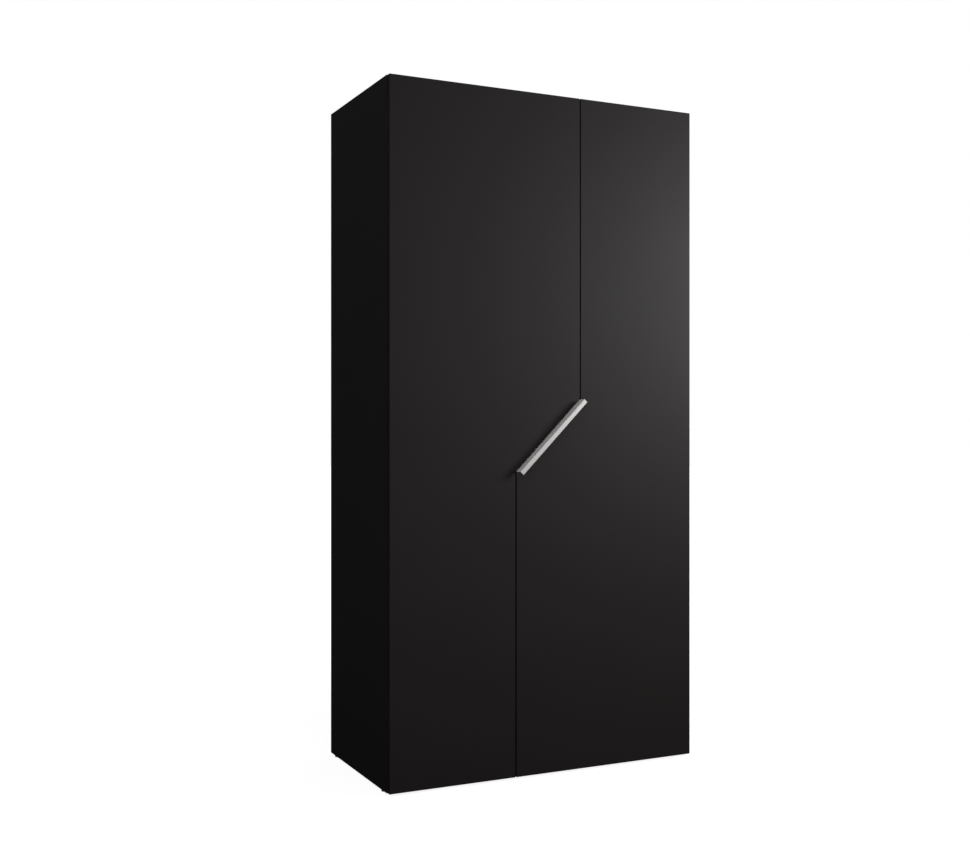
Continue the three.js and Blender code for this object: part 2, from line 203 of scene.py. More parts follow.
class Part:
    """A closed surface: its points, the corners of its faces run together, how many corners each
    face has, and the number of each face's finish."""

    def __init__(self, points, corners, sizes, finish=0):
        self.points = np.asarray(points, float)
        self.corners = np.asarray(corners, int)
        self.sizes = np.asarray(sizes, int)
        self.finish = np.broadcast_to(finish, self.sizes.shape)

    def __add__(self, other):
        return Part(
            np.concatenate([self.points, other.points]),
            np.concatenate([self.corners, other.corners + len(self.points)]),
            np.concatenate([self.sizes, other.sizes]),
            np.concatenate([self.finish, other.finish]),
        )

    def placed(self, origin, axes):
        """Each point (a, b, c) goes to origin + a x + b y + c z, for the three axes x, y and z. A
        left-handed set of axes also turns every face round, so that it still points out."""
        axes = np.asarray(axes, float)
        points = self.points @ axes + np.asarray(origin, float)
        way = 1 if np.linalg.det(axes) > 0 else -1
        return Part(points, self.corners[::way], self.sizes[::way], self.finish[::way])

    def finished(self, number):
        return Part(self.points, self.corners, self.sizes, number)


def inset(outline, depth):
    """Each corner moved in so that both of its edges move in by depth: p - depth (n + m) /
    (1 + n.m), where n and m are the outward normals of those two edges."""
    along = np.roll(outline, -1, axis=0) - outline
    along = along / np.linalg.norm(along, axis=1, keepdims=True)
    after = np.stack([along[:, 1], -along[:, 0]], axis=1)
    before = np.roll(after, 1, axis=0)
    return outline - depth * (after + before) / (1 + np.sum(after * before, 1, keepdims=True))


def circle(centre, radius, count):
    """count points round a centre: centre + radius (cos t, sin t)."""
    t = np.arange(count) * 2 * np.pi / count
    return np.stack([centre[0] + radius * np.cos(t), centre[1] + radius * np.sin(t)], axis=1)


def level(outline, height):
    """A flat ring: the outline with one height for its third coordinate."""
    return np.column_stack([outline, np.full(len(outline), height)])


def lofted(rings, wrap=False):
    """The surface through rings of as many points each, anticlockwise as seen from the last one.
    A flat face closes each end, unless the last ring wraps round to the first."""
    rings = np.asarray(rings)
    rows, count = rings.shape[:2]
    index = np.arange(rows * count).reshape(rows, count)
    index = np.concatenate([index, index[:1]]) if wrap else index
    ahead = np.roll(index, -1, axis=1)
    faces = np.stack([index[:-1], ahead[:-1], ahead[1:], index[1:]], axis=2).reshape(-1)
    sizes = np.full(len(faces) // 4, 4)
    if not wrap:
        faces = np.concatenate([faces, index[0, ::-1], index[-1]])
        sizes = np.append(sizes, [count, count])
    return Part(rings.reshape(-1, 3), faces, sizes)


def board(outline, near, far, holes=(), arris=ARRIS):
    """A board with its outline in the first two coordinates and its thickness in the third. Its
    rings are the outline, set in by a (1 - sin t) and lying a (1 - cos t) from the face, while t
    runs from 0 to a quarter turn. Each hole, a (centre, radius, depth), is sunk from the far face,
    and the face between the holes is cut into triangles."""
    outline = np.asarray(outline, float)
    t = np.linspace(0, np.pi / 2, ARRIS_STEPS + 1)
    sink = np.append(arris + BAND_WALL, arris * (1 - np.sin(t)))
    rise = np.append(0.0, arris * (1 - np.cos(t)))
    rings = [level(inset(outline, s), near + r) for s, r in zip(sink, rise)]
    rings += [level(inset(outline, s), far - r) for s, r in zip(sink[::-1], rise[::-1])]
    body = lofted(rings)
    count = len(outline)
    body.finish = np.full(len(body.sizes), BAND)
    body.finish[:count] = body.finish[-count - 2 :] = FACE
    if not holes:
        return body
    loops = [rings[-1]]
    body = Part(body.points, body.corners[:-count], body.sizes[:-1], body.finish[:-1])
    for centre, radius, depth in holes:
        rim = circle(centre, radius, HOLE_POINTS if radius < WIDE_HOLE else 3 * HOLE_POINTS)
        pocket = lofted([level(rim, far), level(rim, far - depth)])
        kept = len(pocket.sizes) - 2
        corners = np.append(pocket.corners[: 4 * kept], pocket.corners[-len(rim) :])
        body += Part(pocket.points, corners, [4] * kept + [len(rim)], CORE)
        loops.append(level(rim, far))
    points = np.concatenate(loops)
    triangles = np.array(tessellate_polygon([[Vector(p) for p in loop] for loop in loops]))
    a, b, c = (points[triangles[:, k]] for k in range(3))
    turn = np.cross(b - a, c - a)[:, 2] < 0
    triangles[turn] = triangles[turn, ::-1]
    return body + Part(points, triangles.reshape(-1), [3] * len(triangles), FACE)


def add_piece(name, part, finishes, body, nodes=(), smooth=None):
    """The part as an object riding on a body, in place of the CAD nodes named. Edges sharper than
    smooth, in degrees, stay crisp."""
    mesh = bpy.data.meshes.new(name)
    mesh.vertices.add(len(part.points))
    mesh.vertices.foreach_set("co", part.points.ravel())
    mesh.loops.add(len(part.corners))
    mesh.loops.foreach_set("vertex_index", part.corners)
    mesh.polygons.add(len(part.sizes))
    mesh.polygons.foreach_set("loop_start", np.cumsum(part.sizes) - part.sizes)
    for material in finishes:
        mesh.materials.append(material)
    mesh.polygons.foreach_set("material_index", part.finish.astype(np.int32))
    mesh.update(calc_edges=True)
    mesh.polygons.foreach_set("use_smooth", np.full(len(part.sizes), smooth is not None))
    if smooth is not None:
        mesh.set_sharp_from_angle(angle=math.radians(smooth))
    piece = bpy.data.objects.new(name, mesh)
    bpy.context.scene.collection.objects.link(piece)
    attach(piece, body)
    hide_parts(*nodes)
    return piece


X, Y, Z = np.eye(3)


def box_board(node, holes=(), drilled=1, **settings):
    """The board that stands for a box-shaped CAD node. Its thickness is the node's least side, and
    any holes are drilled from its upper end on that axis, or its lower one if drilled is -1."""
    low, high = (np.array(corner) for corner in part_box(node))
    thin = int(np.argmin(high - low))
    a, b = (axis for axis in range(3) if axis != thin)
    corners = [(low[a], low[b]), (high[a], low[b]), (high[a], high[b]), (low[a], high[b])]
    ends = sorted((drilled * low[thin], drilled * high[thin]))
    part = board(corners, *ends, holes, **settings)
    return part.placed((0, 0, 0), (np.eye(3)[a], np.eye(3)[b], drilled * np.eye(3)[thin]))


side_low, side_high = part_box("left_side_panel")
shelf_nodes = sorted(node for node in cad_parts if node.startswith("shelf_"))
drill_rows = (side_low.y + DRILL_INSET, side_high.y - DRILL_INSET)
pin_heights = [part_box(node)[0].z - DRILL_RADIUS for node in shelf_nodes]
shelf_holes = [
    ((y, z + step * DRILL_PITCH), DRILL_RADIUS, DRILL_DEPTH)
    for y in drill_rows
    for z in pin_heights
    for step in range(-2, 3)
]
for cad_node, holes in (("left_side_panel", shelf_holes), ("right_side_panel", ())):
    part = box_board(cad_node, holes)
    add_piece(f"{cad_node}_board", part, carcass_finishes, "carcass", [cad_node])


# ---------------------------------------------------------------------------------------------
# Top, bottom, plinths, hat shelf and divider. The same banded board, cut to fit between the
# sides and pulled up to them with cam fittings. The divider is drilled on its left face, to
# match the left side panel.

for cad_node in ("top_panel", "bottom_panel", "front_plinth", "rear_plinth", "hat_shelf"):
    part = box_board(cad_node)
    add_piece(f"{cad_node}_board", part, carcass_finishes, "carcass", [cad_node])
part = box_board("centre_divider", shelf_holes, drilled=-1)
add_piece("divider_board", part, carcass_finishes, "carcass", ["centre_divider"])


# ---------------------------------------------------------------------------------------------
# Cam caps. Push-in plastic caps over the cam fittings: shallow domes on the undersides of the
# top panel and the hat shelf, two at each end.

CAP_RADIUS = 0.0085
CAP_RISE = 0.0012
CAP_INSET = 0.034
CAP_FROM_EDGE = 0.08
ROUND_POINTS = 32


def plastic(name, colour, roughness):
    """Moulded plastic with a fine spark-eroded grain."""
    finish = Finish(name, specular_ior_level=0.35)
    grain = finish.noise(0.0005, 2.0)
    finish.look(base_color=finish.mix(grain, colour, tuple(1.4 * c for c in colour)))
    finish.look(roughness=roughness + grain * 0.1)
    finish.bump(grain, 0.00004)
    return finish.material


def revolved(profile, count=ROUND_POINTS, wrap=False):
    """A turned part: the profile of (radius, height) carried round the third axis. A flat disc
    closes each end, unless the profile wraps round to its start."""
    return lofted([level(circle((0, 0), r, count), h) for r, h in profile], wrap)


def dome(radius, rise, steps=6):
    """The profile of a shallow dome on an upright rim: its radius shrinks as cos t while its
    height grows as sin t."""
    t = np.linspace(0, 0.49 * np.pi, steps)
    return [(radius, 0.0), *zip(radius * np.cos(t), rise * (0.35 + 0.65 * np.sin(t)))]


def facing(part, origin, out, side):
    """A turned part standing at origin with its third axis along out and its first along side."""
    return part.placed(origin, (side, np.cross(out, side), out))


def joined(parts):
    """All the parts as one."""
    return sum(parts[1:], parts[0])


black_plastic = plastic("black_plastic", (0.010, 0.010, 0.010), 0.42)
cap_places = [
    (x, y, low.z)
    for low, high in (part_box("top_panel"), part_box("hat_shelf"))
    for x in (low.x + CAP_INSET, high.x - CAP_INSET)
    for y in (low.y + CAP_FROM_EDGE, high.y - CAP_FROM_EDGE)
]
cap = revolved(dome(CAP_RADIUS, CAP_RISE))
caps = joined([facing(cap, place, -Z, X) for place in cap_places])
add_piece("cam_caps", caps, [black_plastic], "carcass", smooth=40)


# ---------------------------------------------------------------------------------------------
# Back. Two sheets of 3 mm hardboard, lacquered black inside and left brown outside, where the
# mesh they were pressed on has left its weave. They are pinned to the carcass all round.

MESH_PITCH = 0.0022
SHEET_ARRIS = 0.0003
PANEL_PIN_PITCH = 0.118
PANEL_PIN_INSET = 0.006
PANEL_PIN_RADIUS = 0.0022
PANEL_PIN_RISE = 0.0005
JOINT_CLEAR = 0.03


def hardboard(name, seam):
    """Brown fibreboard behind the plane y = seam, black lacquer in front of it."""
    finish = Finish(name, specular_ior_level=0.2)
    outside = finish.node("ShaderNodeSeparateXYZ", {}, {"Vector": finish.place}, "Y") > seam
    fibres = finish.noise(0.004, 5.0, (1.0, 1.0, 2.2))
    stain = finish.noise(0.35, 2.0)
    share = fibres * 0.75 + stain * 0.25
    brown = finish.mix(share, (0.085, 0.044, 0.022), (0.26, 0.155, 0.085))
    finish.look(base_color=finish.mix(outside, (0.010, 0.0095, 0.009), brown))
    finish.look(roughness=0.5 + outside * 0.35)
    wave = {"Vector": finish.place, "Scale": math.pi / 10 / MESH_PITCH}
    rows = finish.node("ShaderNodeTexWave", {"bands_direction": "Z"}, wave, "Fac")
    columns = finish.node("ShaderNodeTexWave", {"bands_direction": "X"}, wave, "Fac")
    finish.bump((rows * columns + fibres * 0.4) * outside, 0.0002, 0.7)
    return finish.material


def steel(name, colour, roughness, scratch):
    """Plated steel: faint clouds in its roughness, and hair-fine scratches."""
    finish = Finish(name, metallic=1.0)
    cloud = finish.noise(0.006, 3.0)
    hairs = finish.noise(0.0006, 2.0, (1, 12, 1))
    finish.look(base_color=finish.mix(cloud, colour, tuple(0.84 * c for c in colour)))
    finish.look(roughness=roughness + cloud * 0.08 + hairs * 0.06)
    finish.bump(hairs, scratch, 0.4)
    return finish.material


back_low, back_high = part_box("back_panel_left")
fibre = hardboard("hardboard", (back_low.y + back_high.y) / 2)
for cad_node in ("back_panel_left", "back_panel_right"):
    sheet = box_board(cad_node, arris=SHEET_ARRIS)
    add_piece(f"{cad_node}_sheet", sheet, [fibre] * 3, "carcass", [cad_node])

zinc = steel("zinc_plate", (0.58, 0.58, 0.56), 0.28, 0.00001)
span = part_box("back_panel_right")[1].x - PANEL_PIN_INSET
low_z, high_z = back_low.z + PANEL_PIN_INSET, back_high.z - PANEL_PIN_INSET
rows = np.linspace(low_z, high_z, round((high_z - low_z) / PANEL_PIN_PITCH) + 1)
columns = np.linspace(-span, span, round(2 * span / PANEL_PIN_PITCH) + 1)[1:-1]
columns = columns[np.abs(columns) > JOINT_CLEAR]
board_middles = [
    (low.z + high.z) / 2 for low, high in map(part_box, ("bottom_panel", "hat_shelf", "top_panel"))
]
pin_places = [(x, z) for x in (-span, span) for z in rows]
pin_places += [(x, z) for z in board_middles for x in columns]
head = revolved(dome(PANEL_PIN_RADIUS, PANEL_PIN_RISE, 4), 12)
heads = joined([facing(head, (x, back_high.y, z), Y, X) for x, z in pin_places])
add_piece("panel_pins", heads, [zinc], "carcass", smooth=50)


# ---------------------------------------------------------------------------------------------
# Joint strip. A moulded plastic tee over the joint of the two back sheets: its web stands between
# them, and its flange, thinned towards both edges, lies over them.

STRIP_WEB = 0.0005
STRIP_BEVEL = 0.0006

strip_low, strip_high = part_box("back_joint_strip")
tee = [
    (-STRIP_WEB, strip_low.y),
    (STRIP_WEB, strip_low.y),
    (STRIP_WEB, back_high.y),
    (strip_high.x, back_high.y),
    (strip_high.x - STRIP_BEVEL, strip_high.y),
    (strip_low.x + STRIP_BEVEL, strip_high.y),
    (strip_low.x, back_high.y),
    (-STRIP_WEB, back_high.y),
]
strip = lofted([level(np.array(tee), z) for z in (strip_low.z, strip_high.z)])
add_piece("joint_strip", strip, [black_plastic], "carcass", ["back_joint_strip"])


# ---------------------------------------------------------------------------------------------
# Glides. Nail-on plastic feet under the side panels: low discs with a rounded tread.

GLIDE_ROUND = 0.0014
GLIDE_TOP_ROUND = 0.0004

for cad_node in sorted(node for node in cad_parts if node.startswith("glide_")):
    low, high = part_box(cad_node)
    radius = (high.x - low.x) / 2
    t = np.linspace(0, np.pi / 2, 6)
    sink, rise = GLIDE_ROUND * (1 - np.sin(t)), GLIDE_ROUND * (1 - np.cos(t))
    profile = [*zip(radius - sink, low.z + rise), (radius, high.z - GLIDE_TOP_ROUND)]
    profile.append((radius - GLIDE_TOP_ROUND, high.z))
    foot = revolved(profile).placed(((low.x + high.x) / 2, (low.y + high.y) / 2, 0), (X, Y, Z))
    name = f"{cad_node}_foot"
    add_piece(name, foot, [black_plastic], "carcass", [cad_node], 40)


# ---------------------------------------------------------------------------------------------
# Shelves and their pins. Four loose boards, each lying on four nickel-plated pins that are pushed
# into the drilled rows.

SHELF_PIN_OUT = 0.008
SHELF_PIN_PLAY = 0.0001
COLLAR_RADIUS = 0.0035
COLLAR_WALL = 0.0010
SHELF_PIN_EASE = 0.0005

nickel = steel("nickel_plate", (0.60, 0.58, 0.55), 0.24, 0.00001)
for cad_node in shelf_nodes:
    part = box_board(cad_node)
    add_piece(f"{cad_node}_board", part, carcass_finishes, "carcass", [cad_node])

bar = DRILL_RADIUS - SHELF_PIN_PLAY
profile = [(COLLAR_RADIUS, 0.0), (COLLAR_RADIUS, COLLAR_WALL), (bar, COLLAR_WALL)]
profile += [(bar, SHELF_PIN_OUT - SHELF_PIN_EASE), (bar - SHELF_PIN_EASE, SHELF_PIN_OUT)]
shelf_pin = revolved(profile, 20)
shelf_pins = joined(
    [
        facing(shelf_pin, (x, y, z), out, Z)
        for x, out in ((side_high.x, X), (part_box("centre_divider")[0].x, -X))
        for y in drill_rows
        for z in pin_heights
    ]
)
add_piece("shelf_pins", shelf_pins, [nickel], "carcass", smooth=40)


# ---------------------------------------------------------------------------------------------
# Clothes rail. A chromed oval tube lying in two die-cast sockets, which are screwed to the divider
# and to the right side panel.

OVAL_POINTS = 48
RAIL_WALL = 0.00125
SOCKET_BASE = 0.0025
SOCKET_PLAY = 0.0003
SOCKET_EASE = 0.0006


def oval(tall, wide, count=OVAL_POINTS):
    """A flat-sided oval round the origin, tall in its second coordinate: r cos t, and
    r sin t pushed out by half the straight, up or down with the sign of sin t."""
    t = (np.arange(count) + 0.5) * 2 * np.pi / count
    radius = wide / 2
    straight = (tall / 2 - radius) * np.sign(np.sin(t))
    return np.stack([radius * np.cos(t), radius * np.sin(t) + straight], axis=1)


def chrome(name):
    """Bright chrome with the faint waviness of a drawn tube."""
    finish = Finish(name, metallic=1.0)
    drawn = finish.noise(0.002, 2.0, (40, 1, 1))
    finish.look(base_color=finish.mix(drawn, (0.74, 0.74, 0.75), (0.68, 0.68, 0.69)))
    finish.look(roughness=0.07 + drawn * 0.07)
    finish.bump(drawn, 0.000006, 0.4)
    return finish.material


bright = chrome("bright_chrome")
rail_low, rail_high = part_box("clothes_rail")
tall, wide = rail_high.z - rail_low.z, rail_high.y - rail_low.y
rail_middle = ((0, (rail_low.y + rail_high.y) / 2, (rail_low.z + rail_high.z) / 2), (Y, Z, X))
outer, inner = oval(tall, wide), oval(tall - 2 * RAIL_WALL, wide - 2 * RAIL_WALL)
ends = ((outer, rail_low.x), (outer, rail_high.x), (inner, rail_high.x), (inner, rail_low.x))
tube = lofted([level(section, x) for section, x in ends], wrap=True).placed(*rail_middle)
add_piece("rail_tube", tube, [bright], "carcass", ["clothes_rail"], 40)

bore = oval(tall + 2 * SOCKET_PLAY, wide + 2 * SOCKET_PLAY)
for cad_node, out in (("rail_socket_left", 1), ("rail_socket_right", -1)):
    low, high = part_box(cad_node)
    depth = high.x - low.x
    shell = oval(high.z - low.z, high.y - low.y)
    eased = oval(high.z - low.z - 2 * SOCKET_EASE, high.y - low.y - 2 * SOCKET_EASE)
    stations = ((eased, 0), (shell, SOCKET_EASE), (shell, depth - SOCKET_EASE), (eased, depth))
    stations += ((bore, depth), (bore, SOCKET_BASE))
    middle = ((low if out > 0 else high).x, *rail_middle[0][1:])
    cup = lofted([level(s, x) for s, x in stations]).placed(middle, (out * Y, Z, out * X))
    add_piece(f"{cad_node}_casting", cup, [bright], "carcass", [cad_node], 40)


# ---------------------------------------------------------------------------------------------
# Doors. 18 mm board like the carcass, in a slightly warmer black, meeting on a split that steps
# along a slanted edge. The back of each has four round pockets milled for the hinge cups.

POCKET_PLAY = 0.0003
DOOR_BLACK = (0.0106, 0.0082, 0.0082)

door_finishes = (
    melamine("door_face", DOOR_BLACK, FACE_ROUGHNESS, 0.00004),
    melamine("door_band", DOOR_BLACK, BAND_ROUGHNESS, 0.00002),
    carcass_finishes[CORE],
)


def door_outline(node):
    """The corners of a door's front face in order: the corners of its mesh on that face, sorted
    by their angle about a point half way along its wide side."""
    points = np.empty(3 * len(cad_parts[node].data.vertices))
    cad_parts[node].data.vertices.foreach_get("co", points)
    points = points.reshape(-1, 3)
    front = points[points[:, 1] < points[:, 1].min() + 1e-5][:, [0, 2]]
    corners = np.unique(np.round(front, 5), axis=0)
    hinged = corners[np.abs(corners[:, 0]).argmax(), 0]
    spread = corners - (hinged / 2, corners[:, 1].mean())
    return corners[np.argsort(np.arctan2(spread[:, 1], spread[:, 0]))]


for hand in ("left", "right"):
    door = f"{hand}_door"
    low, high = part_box(door)
    cups = [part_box(f"{hand}_hinge_cup_{i}") for i in range(1, 5)]
    radius = (cups[0][1].x - cups[0][0].x) / 2 + POCKET_PLAY
    pockets = [
        (((a.x + b.x) / 2, (a.z + b.z) / 2), radius, high.y - a.y + POCKET_PLAY) for a, b in cups
    ]
    slab = board(door_outline(door), low.y, high.y, pockets).placed((0, 0, 0), (X, Z, Y))
    add_piece(f"{door}_board", slab, door_finishes, door, [door])


# ---------------------------------------------------------------------------------------------
# Door bumpers. Clear rubber domes stuck to the back of each door at its free corners, where they
# meet the edges of the top and bottom panels.

BUMPER_RADIUS = 0.004
BUMPER_RISE = 0.0018
BUMPER_INSET = 0.03

rubber = plastic("bumper_rubber", (0.22, 0.22, 0.21), 0.35)
bumper = revolved(dome(BUMPER_RADIUS, BUMPER_RISE), 24)
for hand, side in (("left", 1), ("right", -1)):
    door = f"{hand}_door"
    corners = door_outline(door)
    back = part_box(door)[1].y
    places = []
    for cad_node, end in (("bottom_panel", corners[:, 1].min()), ("top_panel", corners[:, 1].max())):
        low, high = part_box(cad_node)
        free = (side * corners[np.abs(corners[:, 1] - end) < 1e-4, 0]).max() * side
        places.append((free - side * BUMPER_INSET, back, (low.z + high.z) / 2))
    bumpers = joined([facing(bumper, place, Y, X) for place in places])
    add_piece(f"{door}_bumpers", bumpers, [rubber], door, smooth=40)


# ---------------------------------------------------------------------------------------------
# Grip. An aluminium profile along the slanted edge of the right door: a web over the edge, a lip
# turned back in front to pull by, and a rear flange. Extruded, brushed lengthways and anodised.

GRIP_WALL = 0.002
GRIP_LIP = 0.013
GRIP_FLANGE = 0.016
GRIP_ROUND = 0.0005
GRIP_NOSE = 0.0018
GRIP_ARRIS = 0.0003
GRIP_SLOPE = math.radians(45)
ANODISED_METAL = 0.5
ANODISED_COLOUR = (0.78, 0.75, 0.745)
ROUND_STEPS = 4


def rounded(corners, radius):
    """The outline with each corner rounded, by one radius or by one for each: the arc's centre is
    the corner of the outline set in by r on a convex corner and out by r on a concave one, and
    r (cos t, sin t) turns about it."""
    corners = np.asarray(corners, float)
    ahead = np.roll(corners, -1, axis=0) - corners
    ahead /= np.linalg.norm(ahead, axis=1, keepdims=True)
    back = np.roll(corners, 1, axis=0) - corners
    back /= np.linalg.norm(back, axis=1, keepdims=True)
    bisector = ahead + back
    cosine = np.sum(ahead * back, axis=1)
    radius = np.broadcast_to(radius, len(corners))
    reach = radius / np.sqrt((1 - cosine) / 2)
    centre = corners + bisector / np.linalg.norm(bisector, axis=1, keepdims=True) * reach[:, None]
    trim = radius * np.sqrt((1 + cosine) / (1 - cosine))
    start, end = corners + back * trim[:, None] - centre, corners + ahead * trim[:, None] - centre
    first = np.arctan2(start[:, 1], start[:, 0])
    sweep = (np.arctan2(end[:, 1], end[:, 0]) - first + np.pi) % (2 * np.pi) - np.pi
    t = first[:, None] + sweep[:, None] * np.linspace(0, 1, ROUND_STEPS + 1)
    arc = centre[:, None] + radius[:, None, None] * np.stack([np.cos(t), np.sin(t)], axis=2)
    return arc.reshape(-1, 2)


def brushed(name, colour, slope):
    """Satin anodised aluminium, brushed along a line that rises at slope in the x and z plane. The
    oxide layer scatters part of the light, so it isn't all metal."""
    finish = Finish(name, metallic=ANODISED_METAL)
    along = (0, -slope, 0)
    streaks = finish.noise(0.00022, 2.0, (400, 1, 1), along)
    bands = finish.noise(0.0015, 2.0, (200, 1, 1), along)
    cloud = finish.noise(0.02, 2.0)
    share = streaks * 0.6 + bands * 0.4
    finish.look(base_color=finish.mix(share, tuple(0.84 * c for c in colour), colour))
    finish.look(roughness=0.36 + streaks * 0.14 + cloud * 0.05)
    finish.bump(streaks * 0.7 + bands * 0.3, 0.00009, 0.8)
    return finish.material


profile_points = np.array([v.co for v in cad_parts["grip_profile"].data.vertices])
across = math.sin(GRIP_SLOPE) * X - math.cos(GRIP_SLOPE) * Z
down = -math.cos(GRIP_SLOPE) * X - math.sin(GRIP_SLOPE) * Z
grip_axes = np.array([across, -Y, down])
spread = profile_points @ grip_axes.T
grip_low, grip_high = spread.min(axis=0), spread.max(axis=0)
grip_origin = np.array([grip_low[0], -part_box("right_door")[0].y, (grip_low[2] + grip_high[2]) / 2])
reach, rear = grip_high[1] - grip_origin[1], grip_low[1] - grip_origin[1]
section = [
    (0, rear),
    (GRIP_FLANGE, rear),
    (GRIP_FLANGE, rear + GRIP_WALL),
    (GRIP_WALL, rear + GRIP_WALL),
    (GRIP_WALL, reach - GRIP_WALL),
    (GRIP_LIP, reach - GRIP_WALL),
    (GRIP_LIP, reach),
    (0, reach),
]
section = rounded(section, [GRIP_ROUND] * (len(section) - 1) + [GRIP_NOSE])
half = (grip_high[2] - grip_low[2]) / 2
trimmed = inset(section, GRIP_ARRIS)
stations = [(trimmed, -half), (section, GRIP_ARRIS - half)]
stations += [(section, half - GRIP_ARRIS), (trimmed, half)]
profile = lofted([level(s, z) for s, z in stations])
profile = profile.placed(grip_origin @ grip_axes, grip_axes)
aluminium = brushed("brushed_aluminium", ANODISED_COLOUR, GRIP_SLOPE)
add_piece("grip_extrusion", profile, [aluminium], "right_door", ["grip_profile"], 30)


# ---------------------------------------------------------------------------------------------
# Grip screws. Three zinc-plated raised countersunk screws with cross recesses, driven through the
# rear flange into the back of the door.

HEAD_POINTS = 48
HEAD_RINGS = 9
HEAD_RISE = 0.0004
RECESS_ARM = 0.62
RECESS_HALF = 0.16
RECESS_DEPTH = 0.0009
RECESS_BLUR = 0.05


def screw_head(radius, rise=HEAD_RISE, skirt=0.0006, recess=RECESS_DEPTH):
    """A raised screw head on the third axis. Its height over a disc of radius R is
    rise (1 - (r / R)^2), less the recess wherever the lesser of |x| and |y| is under the half width
    of an arm and the greater is under its length, with a slope between."""
    r = radius * np.linspace(1, 0.02, HEAD_RINGS)
    rings = np.array([level(circle((0, 0), each, HEAD_POINTS), 0.0) for each in r])
    flat = np.abs(rings[..., :2]) / radius
    in_width = np.clip((RECESS_HALF + RECESS_BLUR - flat.min(axis=2)) / RECESS_BLUR, 0, 1)
    in_length = np.clip((RECESS_ARM + RECESS_BLUR - flat.max(axis=2)) / RECESS_BLUR, 0, 1)
    rings[..., 2] = rise * (1 - (r[:, None] / radius) ** 2) - recess * in_width * in_length
    foot = rings[:1].copy()
    foot[..., 2] -= skirt
    return lofted(np.concatenate([foot, rings]))


for i in (1, 2, 3):
    node = f"grip_screw_{i}"
    points = np.array([v.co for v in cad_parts[node].data.vertices]) @ grip_axes.T
    low, high = points.min(axis=0), points.max(axis=0)
    radius = (high[0] - low[0]) / 2
    centre = np.array([(low[0] + high[0]) / 2, low[1], (low[2] + high[2]) / 2])
    head = facing(screw_head(radius), centre @ grip_axes, Y, across)
    add_piece(f"{node}_head", head, [zinc], "right_door", [node], 40)


# ---------------------------------------------------------------------------------------------
# Hinge cups. Each concealed hinge has a pressed steel cup sunk in the door, with two ears screwed
# to its back and two cheeks inside that hold the pin. Nickel plated.

CUP_WALL = 0.0008
CUP_ROUND = 0.0022
EAR_WALL = 0.0012
CHEEK_IN = 0.0053
CHEEK_OUT = 0.0079
CHEEK_HALF = 0.0033
CUP_SCREW_RADIUS = 0.0036
CUP_SCREW_AT = 0.024
EAR_POINTS = 128
EAR_HALF = 0.009
EAR_EASE = 0.0003


def eared_ring(radius, ear_half, ear_reach, count=EAR_POINTS):
    """A round flange with an ear each way along the second axis, in polar form: the greater of
    the flange's radius and the way out through an ear, which is h / |cos t| on its straight
    sides and c |sin t| + sqrt(h h - c c cos t cos t) on its round end, c being reach - h."""
    t = np.arange(count) * 2 * np.pi / count
    cos, sin = np.abs(np.cos(t)), np.abs(np.sin(t))
    centre = ear_reach - ear_half
    straight = ear_half / np.maximum(cos, 1e-9)
    end = centre * sin + np.sqrt(np.maximum(ear_half**2 - (centre * cos) ** 2, 0))
    ear = np.where(straight * sin < centre, straight, end)
    distance = np.maximum(radius, ear)
    return np.stack([distance * np.cos(t), distance * np.sin(t)], axis=1)


def hinge_places(kind):
    """Each hinge's name, body side, place of its pin and axes: x inwards, y to the back, z up on
    the left and down on the right."""
    for hand, side in (("left", 1), ("right", -1)):
        for i in range(1, 5):
            low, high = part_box(f"{hand}_hinge_pin_{i}")
            axes = (side * X, Y, side * Z)
            yield f"{hand}_hinge_{kind}_{i}", f"{hand}_door", (low + high) / 2, axes


def local_box(node, origin, axes):
    """The lowest and highest corners of a node in a hinge's own axes."""
    low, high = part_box(node)
    ends = np.array([low - origin, high - origin]) @ np.array(axes).T
    return ends.min(axis=0), ends.max(axis=0)


